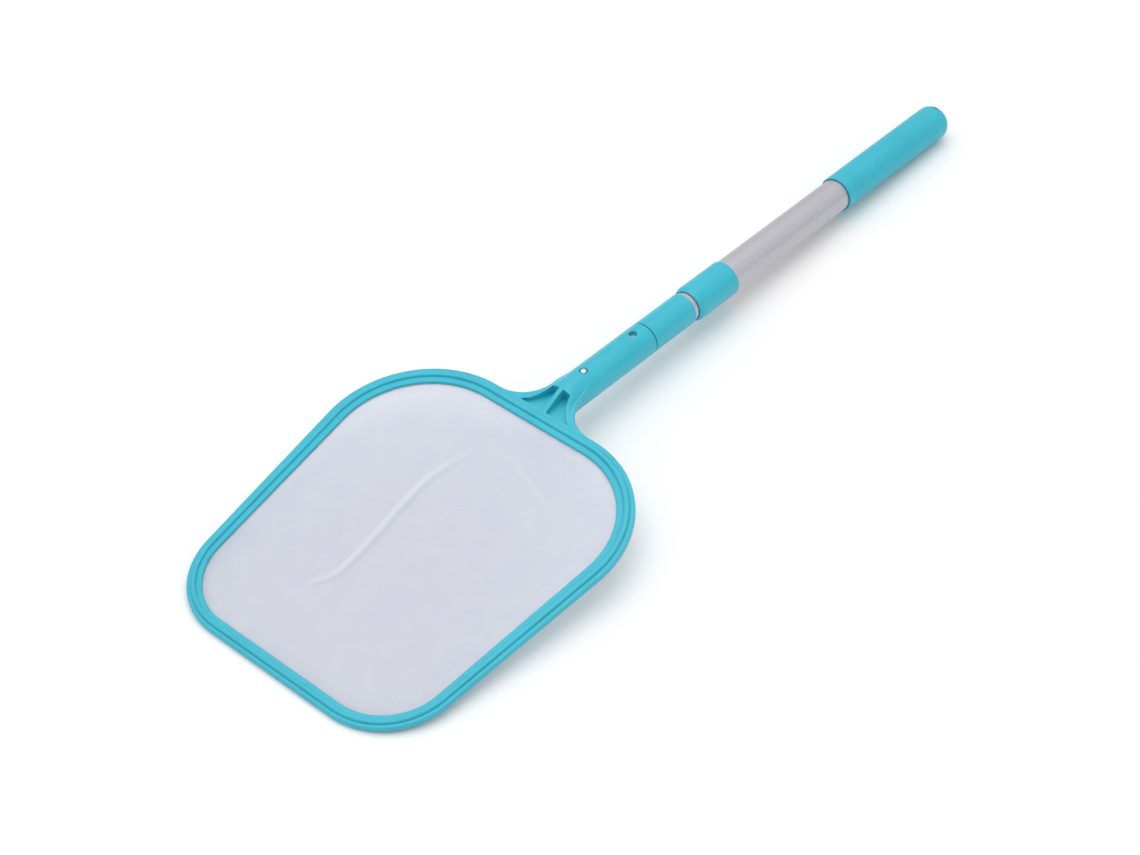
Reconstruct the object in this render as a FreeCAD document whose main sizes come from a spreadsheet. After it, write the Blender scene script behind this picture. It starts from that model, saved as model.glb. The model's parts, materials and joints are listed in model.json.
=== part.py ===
"""Leaf skimmer net: a flat net head snapped onto a telescopic pole of three tubes.

Two local frames are used. Along the pole, +Z of a sub-part runs from the socket mouth (station 0)
towards the grip, and its -Y looks up. In the head, +Z is the normal of the rim, and -Y runs from
the pole towards the tip. The finished net lies on Z = 0, on the rim's tip and the grip's end.
"""
import FreeCAD, Part
import math
import os
import Sketcher
from FreeCAD import Placement, Rotation, Vector

X_AXIS = Vector(1, 0, 0)
# the largest share of a wall that a fillet may take from each side
EASE_SHARE = 0.42

doc = FreeCAD.newDocument("leaf_skimmer_net")
sheet = doc.addObject("Spreadsheet::Sheet", "dims")
sheet.Label = "driving dimensions"
size = {}


def cell(name, value):
    """Keep one size in the sheet, under its own name."""
    row = len(size) + 1
    sheet.set("A%d" % row, name)
    sheet.set("B%d" % row, "%.6f" % value)
    sheet.setAlias("B%d" % row, name)
    size[name] = value
    return value


# ---------------------------------------------------------------- driving dimensions (mm, degrees)
# clearances
running_fit = cell("running_fit", 0.05)
part_gap = cell("part_gap", 0.3)

# head: a belt round four circles, two large ones at the pole and two smaller ones at the tip
rim_reach = cell("rim_reach", 120.0)
rim_length = cell("rim_length", 297.5)
rim_pole_width = cell("rim_pole_width", 275.0)
rim_tip_width = cell("rim_tip_width", 246.0)
rim_pole_radius = cell("rim_pole_radius", 88.0)
rim_tip_radius = cell("rim_tip_radius", 62.0)
tip_narrowing = cell("tip_narrowing", 0.82)
lip_width = cell("lip_width", 3.8)
bead_width = cell("bead_width", 5.0)
flange_width = cell("flange_width", 5.2)
seat_step = cell("seat_step", 1.2)
rim_bottom = cell("rim_bottom", -4.0)
lip_top = cell("lip_top", 1.0)
lip_round = cell("lip_round", 1.3)
seat_thickness = cell("seat_thickness", 1.8)
net_thickness = cell("net_thickness", 0.6)
flange_top = cell("flange_top", 0.9)
bead_top = cell("bead_top", 3.0)
bead_round = cell("bead_round", 1.7)
flange_round = cell("flange_round", 1.2)
ring_side_gap = cell("ring_side_gap", 0.15)
net_edge_gap = cell("net_edge_gap", 0.6)
net_sag = cell("net_sag", 7.0)
net_floor_inset = cell("net_floor_inset", 48.0)

# the rim's plane leans on the pole and passes this far above the axis at the socket mouth
head_angle = cell("head_angle", 9.48)
head_rise = cell("head_rise", 21.23)

# gusset between rim and socket
gusset_half_width = cell("gusset_half_width", 45.0)
gusset_flare = cell("gusset_flare", 31.0)
gusset_overlap = cell("gusset_overlap", 2.5)
gusset_neck_length = cell("gusset_neck_length", 27.0)
gusset_neck_tip = cell("gusset_neck_tip", 6.5)
pocket_skin = cell("pocket_skin", 1.6)
pocket_inner_x = cell("pocket_inner_x", 1.8)
pocket_stand = cell("pocket_stand", 0.3)
pocket_length = cell("pocket_length", 21.8)
pocket_clear = cell("pocket_clear", 20.0)
pocket_corner = cell("pocket_corner", 0.5)
side_rib = cell("side_rib", 6.5)
hump_start_stand = cell("hump_start_stand", 34.0)
hump_second_stand = cell("hump_second_stand", 23.0)
hump_second_rise = cell("hump_second_rise", 0.2)
hump_second_spread = cell("hump_second_spread", 1.1)
hump_second_drop = cell("hump_second_drop", 1.1)
hump_third_stand = cell("hump_third_stand", 14.0)
hump_third_rise = cell("hump_third_rise", 0.6)
hump_third_spread = cell("hump_third_spread", 4.6)
hump_third_drop = cell("hump_third_drop", 5.5)
hump_end_stand = cell("hump_end_stand", 1.5)
hump_end_rise = cell("hump_end_rise", 0.9)
hump_end_spread = cell("hump_end_spread", 14.1)
hump_end_height = cell("hump_end_height", 1.5)

# socket and snap buttons
socket_wall = cell("socket_wall", 2.75)
socket_clearance = cell("socket_clearance", 0.15)
socket_end_wall = cell("socket_end_wall", 26.0)
socket_mouth_chamfer = cell("socket_mouth_chamfer", 0.6)
bore_over = cell("bore_over", 1.0)
button_setback = cell("button_setback", 21.3)
spare_hole_setback = cell("spare_hole_setback", 14.0)
button_hole_clearance = cell("button_hole_clearance", 0.7)
button_radius = cell("button_radius", 2.8)
button_tube_clearance = cell("button_tube_clearance", 0.4)
button_proud = cell("button_proud", 0.4)
button_dome = cell("button_dome", 1.6)
clip_strip = cell("clip_strip", 0.6)
clip_width = cell("clip_width", 6.0)
clip_tube_clearance = cell("clip_tube_clearance", 0.9)
clip_arm_length = cell("clip_arm_length", 34.5)
clip_arm_tail = cell("clip_arm_tail", 5.0)
rivet_radius = cell("rivet_radius", 1.2)
rivet_head_radius = cell("rivet_head_radius", 2.0)
rivet_head_height = cell("rivet_head_height", 0.6)

# three tubes, each sliding in the next
inner_tube_radius = cell("inner_tube_radius", 11.0)
inner_tube_wall = cell("inner_tube_wall", 0.9)
middle_tube_wall = cell("middle_tube_wall", 0.9)
outer_tube_wall = cell("outer_tube_wall", 1.0)
inner_tube_clearance = cell("inner_tube_clearance", 0.6)
middle_tube_clearance = cell("middle_tube_clearance", 0.5)
inner_tube_length = cell("inner_tube_length", 384.0)
middle_tube_length = cell("middle_tube_length", 330.0)
outer_tube_length = cell("outer_tube_length", 319.0)
flute_count = cell("flute_count", 40)
flute_radius = cell("flute_radius", 0.8)
flute_depth = cell("flute_depth", 0.28)

# collars and their guide bushes
middle_collar_gap = cell("middle_collar_gap", 1.0)
middle_collar_length = cell("middle_collar_length", 48.4)
middle_collar_wall = cell("middle_collar_wall", 1.2)
middle_tube_setback = cell("middle_tube_setback", 19.0)
outer_collar_gap = cell("outer_collar_gap", 5.0)
outer_collar_length = cell("outer_collar_length", 47.8)
outer_collar_wall = cell("outer_collar_wall", 1.3)
outer_tube_setback = cell("outer_tube_setback", 17.6)
collar_lip = cell("collar_lip", 4.0)
collar_lip_gap = cell("collar_lip_gap", 0.4)
middle_collar_nose_drop = cell("middle_collar_nose_drop", 0.4)
middle_collar_nose_length = cell("middle_collar_nose_length", 0.8)
outer_collar_nose_drop = cell("outer_collar_nose_drop", 1.8)
outer_collar_nose_length = cell("outer_collar_nose_length", 3.6)
middle_collar_nose_round = cell("middle_collar_nose_round", 0.5)
outer_collar_nose_round = cell("outer_collar_nose_round", 5.0)
collar_rear_round = cell("collar_rear_round", 0.6)
collar_rear_relief = cell("collar_rear_relief", 0.4)
collar_relief_depth = cell("collar_relief_depth", 3.0)

# twist locks
plug_spigot = cell("plug_spigot", 17.0)
plug_flange = cell("plug_flange", 2.0)
middle_journal_radius = cell("middle_journal_radius", 6.0)
inner_journal_radius = cell("inner_journal_radius", 5.0)
sleeve_length = cell("sleeve_length", 18.0)
sleeve_slit = cell("sleeve_slit", 1.6)
sleeve_slit_count = cell("sleeve_slit_count", 4)
sleeve_front_ring = cell("sleeve_front_ring", 3.5)
sleeve_hub_wall = cell("sleeve_hub_wall", 1.5)
washer_thickness = cell("washer_thickness", 1.0)
washer_overlap = cell("washer_overlap", 2.6)
screw_radius = cell("screw_radius", 2.0)
screw_length = cell("screw_length", 22.0)
screw_head_radius = cell("screw_head_radius", 3.8)
screw_head_height = cell("screw_head_height", 2.6)
screw_socket_radius = cell("screw_socket_radius", 1.5)
screw_socket_depth = cell("screw_socket_depth", 1.5)

# grip
grip_wall = cell("grip_wall", 1.6)
grip_length = cell("grip_length", 151.7)
grip_cap = cell("grip_cap", 14.5)
grip_end_round = cell("grip_end_round", 12.0)
grip_front_round = cell("grip_front_round", 0.6)
grip_relief = cell("grip_relief", 0.35)
grip_relief_depth = cell("grip_relief_depth", 2.5)
grip_ring_front = cell("grip_ring_front", 9.2)
grip_ring_tail = cell("grip_ring_tail", 23.6)
grip_ring_pitch = cell("grip_ring_pitch", 2.7)
grip_ring_depth = cell("grip_ring_depth", 0.35)
grip_ring_half_width = cell("grip_ring_half_width", 0.6)
hang_hole_radius = cell("hang_hole_radius", 3.0)
hang_hole_setback = cell("hang_hole_setback", 6.6)
end_plug_depth = cell("end_plug_depth", 6.0)
end_plug_flange = cell("end_plug_flange", 1.5)

# ---------------------------------------------------------------- sizes that follow from them
# centres of the rim's corner circles
pole_corner_x = cell("pole_corner_x", rim_pole_width / 2 - rim_pole_radius)
pole_corner_y = cell("pole_corner_y", -rim_reach - rim_pole_radius)
tip_corner_x = cell("tip_corner_x", rim_tip_width / 2 - rim_tip_radius)
tip_corner_y = cell("tip_corner_y", -rim_reach - rim_length + rim_tip_radius)

# layers of the rim, each a belt whose radii shrink together, a little slower at the tip
def layer(name, inset):
    """Radii of the belt that lies inset from the rim's outer edge."""
    cell(name + "_pole", rim_pole_radius - inset)
    cell(name + "_tip", rim_tip_radius - inset * tip_narrowing)


band = lip_width + bead_width + flange_width
layer("rim", 0)
layer("lip", lip_width)
layer("ring", lip_width + ring_side_gap)
layer("bead_out", lip_width + ring_side_gap)
layer("bead_in", lip_width + bead_width)
layer("flange", band)
layer("seat", band - seat_step)
layer("net_floor", band + net_floor_inset)
layer("net_edge", lip_width + net_edge_gap)

seat_top = cell("seat_top", rim_bottom + seat_thickness)
ring_bottom = cell("ring_bottom", seat_top + net_thickness)

bead_ease = cell("bead_ease", min(bead_round, EASE_SHARE * bead_width * tip_narrowing))

# radii, from the inner tube outwards
inner_bore = cell("inner_bore", inner_tube_radius - inner_tube_wall)
middle_bore = cell("middle_bore", inner_tube_radius + inner_tube_clearance)
middle_tube_radius = cell("middle_tube_radius", middle_bore + middle_tube_wall)
outer_bore = cell("outer_bore", middle_tube_radius + middle_tube_clearance)
outer_tube_radius = cell("outer_tube_radius", outer_bore + outer_tube_wall)
middle_collar_radius = cell("middle_collar_radius", middle_tube_radius + middle_collar_wall)
outer_collar_radius = cell("outer_collar_radius", outer_tube_radius + outer_collar_wall)
grip_radius = cell("grip_radius", outer_tube_radius + grip_wall)
socket_bore = cell("socket_bore", inner_tube_radius + socket_clearance)
socket_radius = cell("socket_radius", inner_tube_radius + socket_clearance + socket_wall)
button_tip_radius = cell("button_tip_radius", socket_radius + button_proud)
socket_hole_radius = cell("socket_hole_radius", button_radius + button_hole_clearance)
tube_button_hole = cell("tube_button_hole", button_radius + button_tube_clearance)
clip_outer_radius = cell("clip_outer_radius", inner_bore - clip_tube_clearance)
clip_inner_radius = cell("clip_inner_radius", clip_outer_radius - clip_strip)

# stations along the pole, from the socket mouth
socket_depth = cell("socket_depth", rim_reach - socket_end_wall)
inner_tube_front = cell("inner_tube_front", -socket_depth)
inner_tube_end = cell("inner_tube_end", inner_tube_front + inner_tube_length)
button_station = cell("button_station", inner_tube_front + button_setback)
spare_hole_station = cell("spare_hole_station", -spare_hole_setback)
clip_bend_station = cell("clip_bend_station", button_station + clip_arm_length)
middle_collar_front = cell("middle_collar_front", middle_collar_gap)
middle_collar_end = cell("middle_collar_end", middle_collar_front + middle_collar_length)
middle_tube_front = cell("middle_tube_front", middle_collar_front + middle_tube_setback)
middle_tube_end = cell("middle_tube_end", middle_tube_front + middle_tube_length)
outer_collar_front = cell("outer_collar_front", middle_collar_end + outer_collar_gap)
outer_collar_end = cell("outer_collar_end", outer_collar_front + outer_collar_length)
outer_tube_front = cell("outer_tube_front", outer_collar_front + outer_tube_setback)
outer_tube_end = cell("outer_tube_end", outer_tube_front + outer_tube_length)
grip_floor = cell("grip_floor", outer_tube_end + end_plug_flange)
grip_end = cell("grip_end", outer_tube_end + grip_cap)
grip_front = cell("grip_front", grip_end - grip_length)
grip_ring_first = cell("grip_ring_first", grip_front + grip_ring_front)
grip_ring_last = grip_end - grip_ring_tail
grip_ring_count = cell("grip_ring_count", int((grip_ring_last - grip_ring_first) / grip_ring_pitch) + 1)
hang_hole_station = cell("hang_hole_station", grip_end - hang_hole_setback)

# ---------------------------------------------------------------- how the net lies at rest
lean = math.radians(head_angle)


def head_point(along, height):
    """(Y, Z) in the pole's frame of a point of the head's middle plane."""
    y = along * math.cos(lean) - height * math.sin(lean)
    z = head_rise + along * math.sin(lean) + height * math.cos(lean)
    return y, z


rim_tip = tip_corner_y - rim_tip_radius
tip_foot = head_point(rim_tip + lip_round, rim_bottom + lip_round)
tip_nose = head_point(rim_tip + lip_round, lip_top - lip_round)
grip_foot = (grip_end - grip_end_round, grip_end_round - grip_radius)
foot_distance = math.hypot(grip_foot[0] - tip_foot[0], grip_foot[1] - tip_foot[1])
foot_slope = math.atan2(grip_foot[1] - tip_foot[1], grip_foot[0] - tip_foot[0])
rest_angle = foot_slope + math.asin((lip_round - grip_end_round) / foot_distance)


def rested(y, z):
    """(Y, Z) of a point of the pole's frame once the pole is turned by rest_angle."""
    turned_y = y * math.cos(rest_angle) + z * math.sin(rest_angle)
    turned_z = z * math.cos(rest_angle) - y * math.sin(rest_angle)
    return turned_y, turned_z


floor_level = rested(*tip_foot)[1] - lip_round
far_end = rested(grip_foot[0], -grip_foot[1])[0] + grip_end_round
near_end = rested(*tip_nose)[0] - lip_round
cell("rest_angle", math.degrees(rest_angle))
cell("rest_shift_y", -(far_end + near_end) / 2)
cell("rest_shift_z", -floor_level)

REST = Placement(Vector(0, size["rest_shift_y"], size["rest_shift_z"]),
                 Rotation(X_AXIS, -size["rest_angle"]))
POLE = REST * Placement(Vector(0, 0, 0), Rotation(X_AXIS, -90))
HEAD = REST * Placement(Vector(0, 0, head_rise), Rotation(X_AXIS, head_angle))
POLE_UNDER = POLE * Placement(Vector(0, 0, 0), Rotation(Vector(0, 0, 1), 180))

doc.recompute()


# ---------------------------------------------------------------- sketch helpers
def bind(sketch, kind, where, name):
    """Add a size constraint whose value is the sheet's cell of that name."""
    index = sketch.addConstraint(Sketcher.Constraint(kind, *where, size[name]))
    sketch.setExpression("Constraints[%d]" % index, "dims." + name)


def pin_point(sketch, edge, end, name_x, name_y):
    """Hold one point at named coordinates; no name means that it lies on the axis."""
    if name_x:
        bind(sketch, "DistanceX", (edge, end), name_x)
    else:
        sketch.addConstraint(Sketcher.Constraint("PointOnObject", edge, end, -2))
    if name_y:
        bind(sketch, "DistanceY", (edge, end), name_y)
    else:
        sketch.addConstraint(Sketcher.Constraint("PointOnObject", edge, end, -1))


def number(name):
    return size[name] if name else 0.0


def polygon(sketch, corners):
    """A closed outline of straight edges through corners given by cell names."""
    points = [Vector(number(x), number(y), 0) for x, y in corners]
    first = sketch.GeometryCount
    count = len(points)
    for i in range(count):
        sketch.addGeometry(Part.LineSegment(points[i], points[(i + 1) % count]))
    for i in range(count):
        after = first + (i + 1) % count
        sketch.addConstraint(Sketcher.Constraint("Coincident", first + i, 2, after, 1))
    for i, (x, y) in enumerate(corners):
        pin_point(sketch, first + i, 1, x, y)


def circle(sketch, name_radius, name_x=None, name_y=None):
    """A circle whose centre and radius are cells."""
    centre = Vector(number(name_x), number(name_y), 0)
    index = sketch.addGeometry(Part.Circle(centre, Vector(0, 0, 1), size[name_radius]))
    pin_point(sketch, index, 3, name_x, name_y)
    bind(sketch, "Radius", (index,), name_radius)


def belt(sketch, name):
    """The rounded trapezoid of one layer: tangent lines and arcs round the four corner circles."""
    pole_radius = size[name + "_pole"]
    tip_radius = size[name + "_tip"]
    run = Vector(tip_corner_x - pole_corner_x, tip_corner_y - pole_corner_y, 0)
    side = math.atan2(run.y, run.x) + math.acos((pole_radius - tip_radius) / run.Length)
    circles = [(-pole_corner_x, pole_corner_y, pole_radius), (-tip_corner_x, tip_corner_y, tip_radius),
               (tip_corner_x, tip_corner_y, tip_radius), (pole_corner_x, pole_corner_y, pole_radius)]
    turns = [(math.pi / 2, math.pi - side), (math.pi - side, 1.5 * math.pi),
             (-math.pi / 2, side), (side, math.pi / 2)]
    first = sketch.GeometryCount
    for (x, y, radius), (start, end) in zip(circles, turns):
        whole = Part.Circle(Vector(x, y, 0), Vector(0, 0, 1), radius)
        sketch.addGeometry(Part.ArcOfCircle(whole, start, end))
    arcs = [sketch.Geometry[first + i] for i in range(4)]
    for i in range(4):
        sketch.addGeometry(Part.LineSegment(arcs[i].EndPoint, arcs[(i + 1) % 4].StartPoint))
    for i in range(4):
        line = first + 4 + i
        sketch.addConstraint(Sketcher.Constraint("Tangent", first + i, 2, line, 1))
        sketch.addConstraint(Sketcher.Constraint("Tangent", line, 2, first + (i + 1) % 4, 1))
    for i, corner in enumerate(("pole", "tip", "tip", "pole")):
        bind(sketch, "Radius", (first + i,), name + "_" + corner)
    for left, right, corner in ((0, 3, "pole"), (1, 2, "tip")):
        bind(sketch, "DistanceX", (first + right, 3), corner + "_corner_x")
        bind(sketch, "DistanceY", (first + right, 3), corner + "_corner_y")
        sketch.addConstraint(Sketcher.Constraint("Symmetric", first + left, 3, first + right, 3, -2))


# ---------------------------------------------------------------- body helpers
def new_body(label, place):
    body = doc.addObject("PartDesign::Body", label)
    body.Label = label
    body.Placement = place
    return body


def body_sketch(body, name, plane, offset=None):
    """A sketch on one of the body's own planes, lifted along its normal by the cell offset."""
    sketch = body.newObject("Sketcher::SketchObject", name)
    origin_plane = [f for f in body.Origin.OriginFeatures if f.Role == plane][0]
    sketch.AttachmentSupport = [(origin_plane, "")]
    sketch.MapMode = "FlatFace"
    if offset:
        sketch.setExpression(".AttachmentOffset.Base.z", "dims." + offset)
    return sketch


def turned(label, profile, place):
    """A body turned about the pole's axis from a profile of (radius, station) cells."""
    body = new_body(label, place)
    sketch = body_sketch(body, label + "_profile", "XZ_Plane")
    polygon(sketch, profile)
    turn = body.newObject("PartDesign::Revolution", label + "_turn")
    turn.Profile = sketch
    turn.ReferenceAxis = (sketch, ["V_Axis"])
    turn.Angle = 360
    doc.recompute()
    return body


def pad(body, sketch, length):
    """Pad a sketch along its normal by the cell length."""
    solid = body.newObject("PartDesign::Pad", sketch.Name + "_pad")
    solid.Profile = sketch
    solid.setExpression("Length", "dims." + length)
    doc.recompute()
    return solid


def pocket_through(body, sketch):
    """Cut a sketch through the whole body, both ways."""
    cut = body.newObject("PartDesign::Pocket", sketch.Name + "_cut")
    cut.Profile = sketch
    cut.Type = 1
    cut.Midplane = True
    doc.recompute()
    return cut


def repeat_round(body, feature, sketch, count):
    """Repeat a feature round its sketch's normal."""
    pattern = body.newObject("PartDesign::PolarPattern", feature.Name + "_round")
    pattern.Originals = [feature]
    pattern.Axis = (sketch, ["N_Axis"])
    pattern.Angle = 360
    pattern.setExpression("Occurrences", "dims." + count)
    body.Tip = pattern
    doc.recompute()
    return pattern


def ease(body, radius, chosen):
    """Fillet the edges of the body's tip that chosen picks, by the cell radius."""
    tip = body.Tip
    local = tip.Shape
    edges = ["Edge%d" % (i + 1) for i, edge in enumerate(local.Edges) if chosen(edge)]
    fillet = body.newObject("PartDesign::Fillet", body.Name + "_ease_" + radius)
    fillet.Base = (tip, edges)
    fillet.setExpression("Radius", "dims." + radius)
    doc.recompute()
    return fillet


def ring_at(station, radius):
    """Pick the full circular edge of that radius at that station of a turned body."""
    def chosen(edge):
        is_round = isinstance(edge.Curve, Part.Circle) and edge.isClosed()
        middle = edge.BoundBox.Center.z
        return is_round and abs(middle - station) < 1e-4 and abs(edge.Curve.Radius - radius) < 1e-4
    return chosen


# ---------------------------------------------------------------- tubes
def tube(label, bore, fluted):
    """A round tube that starts at the cell front, with fine flutes outside if fluted."""
    body = new_body(label, POLE)
    section = body_sketch(body, label + "_section", "XY_Plane", label + "_front")
    circle(section, label + "_radius")
    circle(section, bore)
    pad(body, section, label + "_length")
    if fluted:
        cell(label + "_flute_at", size[label + "_radius"] + flute_radius - flute_depth)
        groove = body_sketch(body, label + "_flute", "XY_Plane", label + "_front")
        circle(groove, "flute_radius", label + "_flute_at", None)
        flute = pocket_through(body, groove)
        repeat_round(body, flute, groove, "flute_count")
    return body


inner_tube = tube("inner_tube", "inner_bore", False)
button_holes = body_sketch(inner_tube, "inner_tube_button_holes", "XZ_Plane")
circle(button_holes, "tube_button_hole", None, "button_station")
pocket_through(inner_tube, button_holes)
middle_tube = tube("middle_tube", "middle_bore", True)
outer_tube = tube("outer_tube", "outer_bore", True)


# ---------------------------------------------------------------- collars and guide bushes
def collar(stage, guided):
    """The sleeve on a tube's front end, and the bush in it that guides the next tube."""
    prefix = stage + "_collar"
    cell(prefix + "_lip_bore", size[guided + "_tube_radius"] + collar_lip_gap)
    cell(prefix + "_step", size[prefix + "_front"] + collar_lip)
    cell(prefix + "_nose", size[prefix + "_radius"] - size[prefix + "_nose_drop"])
    cell(prefix + "_nose_end", size[prefix + "_front"] + size[prefix + "_nose_length"])
    cell(prefix + "_relief", size[stage + "_tube_radius"] + collar_rear_relief)
    cell(prefix + "_relief_at", size[prefix + "_end"] - collar_relief_depth)
    cell(stage + "_bush_bore", size[guided + "_tube_radius"] + running_fit)
    outside = prefix + "_radius"
    seat = stage + "_tube_radius"
    body = turned(prefix, [
        (prefix + "_lip_bore", prefix + "_front"), (prefix + "_nose", prefix + "_front"),
        (outside, prefix + "_nose_end"), (outside, prefix + "_end"), (prefix + "_relief", prefix + "_end"),
        (prefix + "_relief", prefix + "_relief_at"), (seat, prefix + "_relief_at"),
        (seat, prefix + "_step"), (prefix + "_lip_bore", prefix + "_step")], POLE)
    ease(body, prefix + "_nose_round", ring_at(size[prefix + "_nose_end"], size[outside]))
    ease(body, "collar_rear_round", ring_at(size[prefix + "_end"], size[outside]))
    bush = turned(stage + "_bush", [
        (stage + "_bush_bore", prefix + "_step"), (seat, prefix + "_step"),
        (seat, stage + "_tube_front"), (stage + "_bush_bore", stage + "_tube_front")], POLE)
    return [body, bush]


collars = collar("middle", "inner") + collar("outer", "middle")


# ---------------------------------------------------------------- twist locks
def twist_lock(stage, outside_bore):
    """Plug, split sleeve, washer and screw at the rear end of one tube."""
    plug, sleeve = stage + "_lock_plug", stage + "_lock_sleeve"
    washer, screw = stage + "_lock_washer", stage + "_lock_screw"
    end = size[stage + "_tube_end"]
    journal = stage + "_journal_radius"
    cell(plug + "_front", end - plug_spigot)
    cell(plug + "_shoulder", end + plug_flange)
    cell(plug + "_end", end + plug_flange + sleeve_length + 2 * part_gap)
    cell(washer + "_end", size[plug + "_end"] + washer_thickness)
    cell(screw + "_front", size[washer + "_end"] - screw_length)
    cell(screw + "_end", size[washer + "_end"] + screw_head_height)
    cell(screw + "_drive", size[screw + "_end"] - screw_socket_depth)
    cell(sleeve + "_front", size[plug + "_shoulder"] + part_gap)
    cell(sleeve + "_end", size[sleeve + "_front"] + sleeve_length)
    cell(sleeve + "_radius", size[outside_bore] - running_fit)
    cell(sleeve + "_bore", size[journal] + running_fit)
    cell(sleeve + "_hub", size[sleeve + "_bore"] + sleeve_hub_wall)
    cell(sleeve + "_slit_depth", sleeve_length - sleeve_front_ring)
    cell(sleeve + "_slit_out", size[outside_bore] + 1)
    cell(washer + "_radius", size[journal] + washer_overlap)
    spigot, flange = stage + "_bore", stage + "_tube_radius"
    bodies = [turned(plug, [
        ("screw_radius", plug + "_end"), (journal, plug + "_end"), (journal, plug + "_shoulder"),
        (flange, plug + "_shoulder"), (flange, stage + "_tube_end"), (spigot, stage + "_tube_end"),
        (spigot, plug + "_front"), (None, plug + "_front"), (None, screw + "_front"),
        ("screw_radius", screw + "_front")], POLE)]
    body = turned(sleeve, [
        (sleeve + "_bore", sleeve + "_front"), (sleeve + "_radius", sleeve + "_front"),
        (sleeve + "_radius", sleeve + "_end"), (sleeve + "_bore", sleeve + "_end")], POLE)
    slit = body_sketch(body, sleeve + "_slit", "XY_Plane", sleeve + "_end")
    polygon(slit, [(sleeve + "_hub", "slit_low"), (sleeve + "_slit_out", "slit_low"),
                   (sleeve + "_slit_out", "slit_high"), (sleeve + "_hub", "slit_high")])
    cut = body.newObject("PartDesign::Pocket", sleeve + "_slit_cut")
    cut.Profile = slit
    cut.setExpression("Length", "dims." + sleeve + "_slit_depth")
    doc.recompute()
    repeat_round(body, cut, slit, "sleeve_slit_count")
    bodies.append(body)
    bodies.append(turned(washer, [
        ("screw_radius", plug + "_end"), (washer + "_radius", plug + "_end"),
        (washer + "_radius", washer + "_end"), ("screw_radius", washer + "_end")], POLE))
    bodies.append(turned(screw, [
        (None, screw + "_front"), ("screw_radius", screw + "_front"),
        ("screw_radius", washer + "_end"), ("screw_head_radius", washer + "_end"),
        ("screw_head_radius", screw + "_end"), ("screw_socket_radius", screw + "_end"),
        ("screw_socket_radius", screw + "_drive"), (None, screw + "_drive")], POLE))
    return bodies


cell("slit_low", -sleeve_slit / 2)
cell("slit_high", sleeve_slit / 2)
locks = twist_lock("middle", "outer_bore") + twist_lock("inner", "middle_bore")

# ---------------------------------------------------------------- grip and end plug
cell("grip_relief_radius", outer_tube_radius + grip_relief)
cell("grip_relief_at", grip_front + grip_relief_depth)
grip = turned("grip", [
    ("grip_relief_radius", "grip_front"), ("grip_radius", "grip_front"),
    ("grip_radius", "grip_end"), (None, "grip_end"), (None, "grip_floor"),
    ("outer_tube_radius", "grip_floor"), ("outer_tube_radius", "grip_relief_at"),
    ("grip_relief_radius", "grip_relief_at")], POLE)
ease(grip, "grip_end_round", ring_at(grip_end, grip_radius))
ease(grip, "grip_front_round", ring_at(grip_front, grip_radius))

cell("ring_low", grip_ring_first - grip_ring_half_width)
cell("ring_high", grip_ring_first + grip_ring_half_width)
cell("ring_bottom_radius", grip_radius - grip_ring_depth)
cell("ring_outside_radius", grip_radius + grip_ring_depth)
ring_profile = body_sketch(grip, "grip_ring_profile", "XZ_Plane")
polygon(ring_profile, [("ring_bottom_radius", "grip_ring_first"), ("ring_outside_radius", "ring_low"),
                       ("ring_outside_radius", "ring_high")])
grip_ring = grip.newObject("PartDesign::Groove", "grip_ring_groove")
grip_ring.Profile = ring_profile
grip_ring.ReferenceAxis = (ring_profile, ["V_Axis"])
grip_ring.Angle = 360
doc.recompute()
cell("grip_ring_run", grip_ring_pitch * (grip_ring_count - 1))
grip_rings = grip.newObject("PartDesign::LinearPattern", "grip_rings")
grip_rings.Originals = [grip_ring]
grip_rings.Direction = (ring_profile, ["V_Axis"])
grip_rings.setExpression("Length", "dims.grip_ring_run")
grip_rings.setExpression("Occurrences", "dims.grip_ring_count")
grip.Tip = grip_rings
doc.recompute()
hang_hole = body_sketch(grip, "hang_hole", "XZ_Plane")
circle(hang_hole, "hang_hole_radius", None, "hang_hole_station")
pocket_through(grip, hang_hole)

cell("end_plug_front", outer_tube_end - end_plug_depth)
end_plug = turned("tube_end_plug", [
    (None, "end_plug_front"), ("outer_bore", "end_plug_front"), ("outer_bore", "outer_tube_end"),
    ("outer_tube_radius", "outer_tube_end"), ("outer_tube_radius", "grip_floor"),
    (None, "grip_floor")], POLE)

# ---------------------------------------------------------------- snap clip inside the inner tube
cell("clip_half_width", clip_width / 2)
cell("clip_half_width_negative", -clip_width / 2)
cell("clip_arm_hinge_end", clip_bend_station - part_gap)
cell("clip_arm_free_end", button_station - clip_arm_tail)
cell("clip_arm_length_cut", size["clip_arm_hinge_end"] - size["clip_arm_free_end"])

clip_bend = new_body("clip_bend", POLE)
bend_section = body_sketch(clip_bend, "clip_bend_section", "YZ_Plane", "clip_half_width_negative")
for bend_radius in ("clip_outer_radius", "clip_inner_radius"):
    arc_circle = Part.Circle(Vector(0, clip_bend_station, 0), Vector(0, 0, 1), size[bend_radius])
    arc = bend_section.addGeometry(Part.ArcOfCircle(arc_circle, 0, math.pi))
    pin_point(bend_section, arc, 3, None, "clip_bend_station")
    bind(bend_section, "Radius", (arc,), bend_radius)
    for arc_end in (1, 2):
        bind(bend_section, "DistanceY", (arc, arc_end), "clip_bend_station")
for arc_end in (1, 2):
    ends = [bend_section.Geometry[i].StartPoint if arc_end == 1 else bend_section.Geometry[i].EndPoint
            for i in (0, 1)]
    closing = bend_section.addGeometry(Part.LineSegment(*ends))
    bend_section.addConstraint(Sketcher.Constraint("Coincident", closing, 1, 0, arc_end))
    bend_section.addConstraint(Sketcher.Constraint("Coincident", closing, 2, 1, arc_end))
pad(clip_bend, bend_section, "clip_width")

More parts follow.
